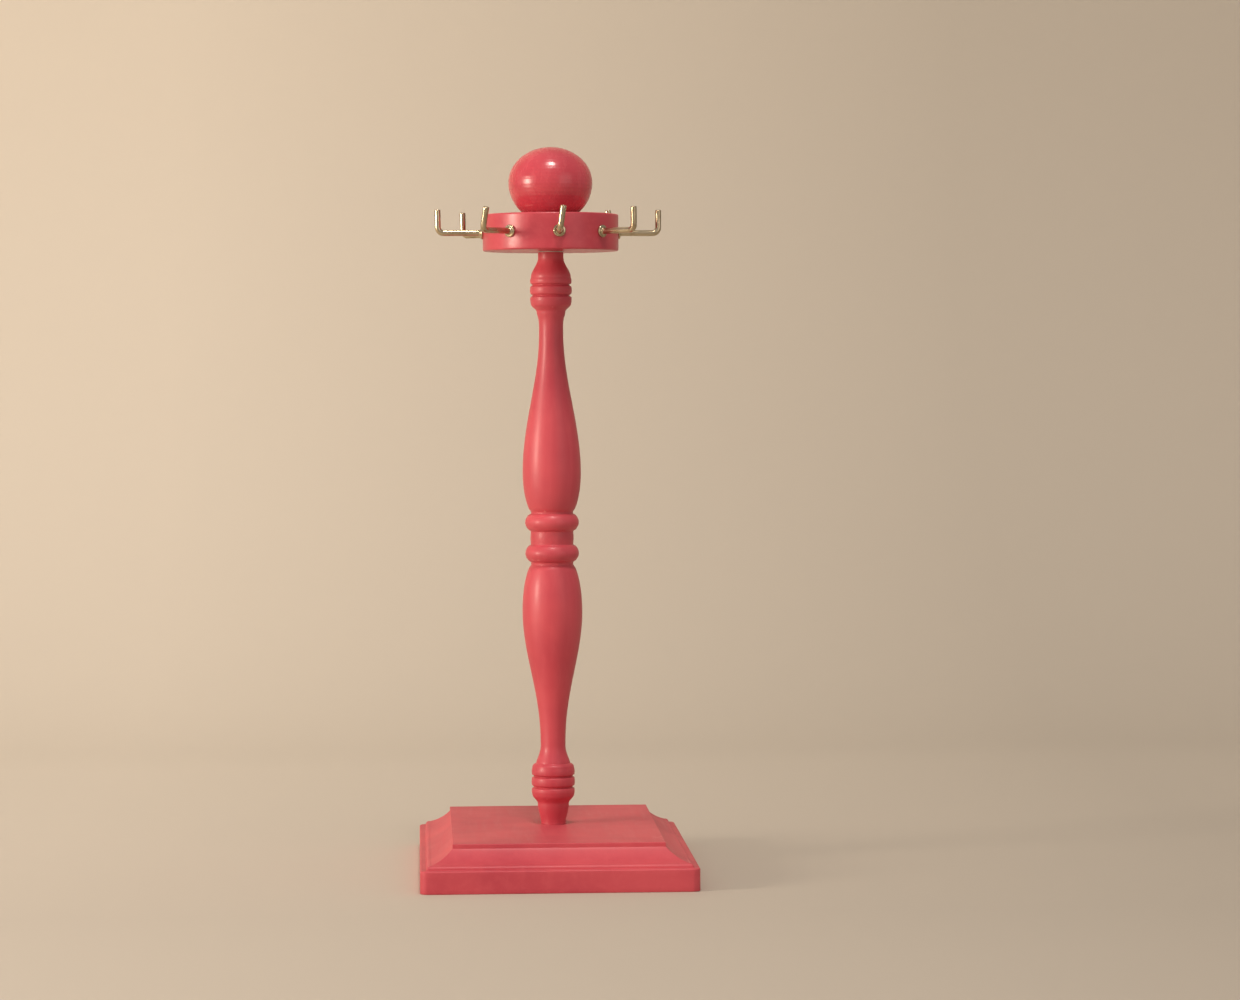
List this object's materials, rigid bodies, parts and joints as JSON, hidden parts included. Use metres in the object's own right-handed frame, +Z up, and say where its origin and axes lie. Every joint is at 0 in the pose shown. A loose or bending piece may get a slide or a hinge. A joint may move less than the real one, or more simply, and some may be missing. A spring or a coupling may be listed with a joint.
{
  "type": "hook tree",
  "caption": "Turned wooden post on a moulded rectangular plinth, with a revolving round disc of square-bend brass hooks under a ball knob, for hanging light cups, keys or chains.",
  "frame": {"origin": "centre of the plinth's underside, on the surface the stand rests on", "axes": "+Z up along the post, +X to the right across the plinth's short side, -Y towards the viewer in front"},
  "size_m": [0.129, 0.178, 0.3468],
  "materials": {
    "coral_paint": "satin coral-pink enamel over sanded wood",
    "hook_brass": "bright brass plate on drawn wire",
    "pin_steel": "plain zinc-plated steel",
    "washer_nylon": "natural nylon"
  },
  "bodies": {
    "stand": {"base_plinth": "coral_paint", "turned_post": "coral_paint", "ball_knob": "coral_paint", "pivot_pin": "pin_steel", "lower_washer": "washer_nylon", "upper_washer": "washer_nylon", "base_screw": "pin_steel"},
    "carousel": {"hook_disc": "coral_paint", "hook_1": "hook_brass", "hook_2": "hook_brass", "hook_3": "hook_brass", "hook_4": "hook_brass", "hook_5": "hook_brass", "hook_6": "hook_brass", "hook_7": "hook_brass", "hook_8": "hook_brass"}
  },
  "joints": [
    {"name": "disc_turn", "type": "hinge", "parent": "stand", "child": "carousel", "pos_m": [0, 0, 0.30565], "axis": [0, 0, 1], "continuous": true}
  ]
}
